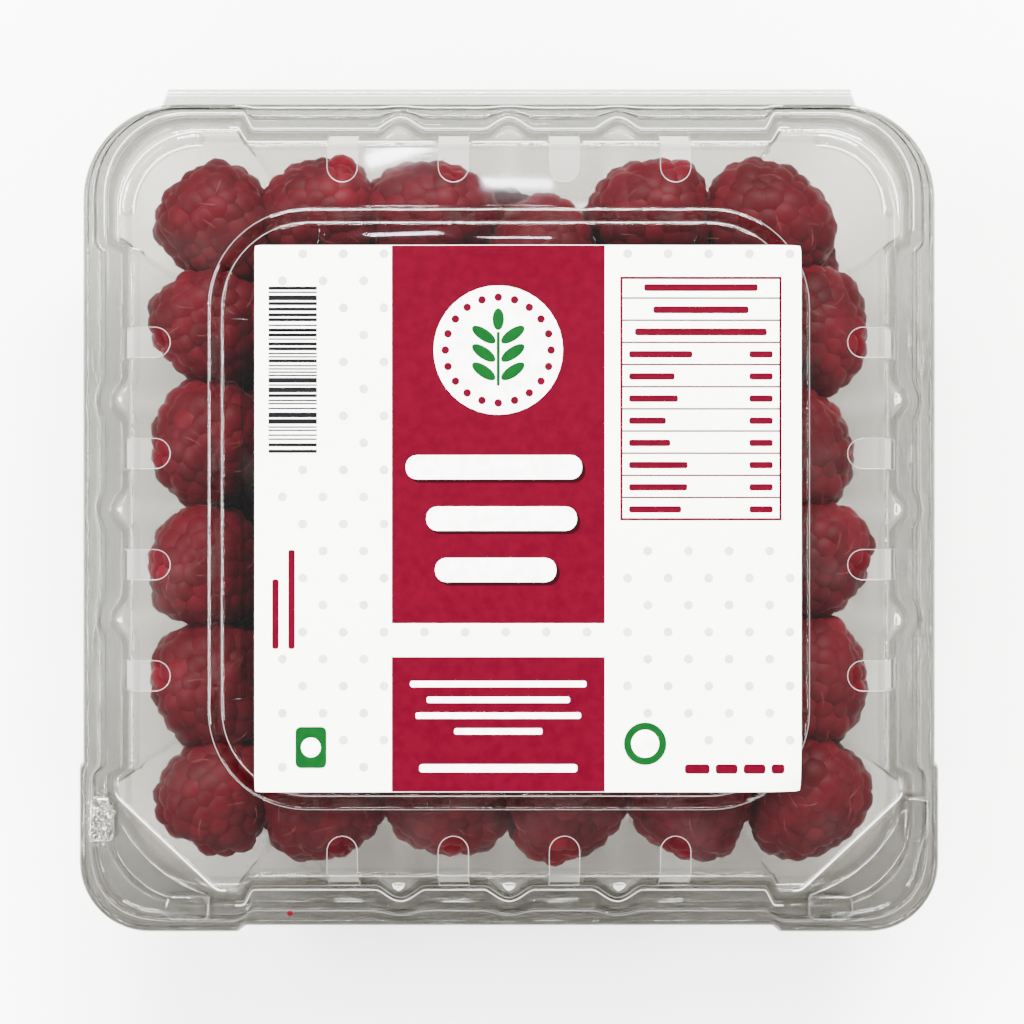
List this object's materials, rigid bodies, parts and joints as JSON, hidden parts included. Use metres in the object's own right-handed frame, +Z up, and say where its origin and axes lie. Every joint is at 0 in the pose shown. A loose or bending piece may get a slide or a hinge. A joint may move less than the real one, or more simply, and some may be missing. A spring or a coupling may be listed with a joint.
{
  "type": "punnet of raspberries",
  "caption": "Clear hinged punnet full of raspberries, shut, with a paper label on the raised panel of its lid.",
  "frame": {"origin": "middle of the bounding box at its base, on the face the punnet rests on", "axes": "+X to the right seen from the front, +Y towards the fold at the back, +Z up"},
  "size_m": [0.121, 0.1182, 0.0411],
  "materials": {
    "clear_plastic": "clear, thin, glossy",
    "label_paper": "printed paper, satin",
    "berry_flesh": "soft, slightly downy fruit skin"
  },
  "bodies": {
    "tub_body": {"tub": "clear_plastic", "raspberries": "berry_flesh"},
    "lid_body": {"lid": "clear_plastic", "label": "label_paper"}
  },
  "joints": [
    {"name": "lid_hinge", "type": "hinge", "parent": "tub_body", "child": "lid_body", "pos_m": [0, 0.05935, 0.02815], "axis": [-1, 0, 0], "range_deg": [0, 180]}
  ]
}
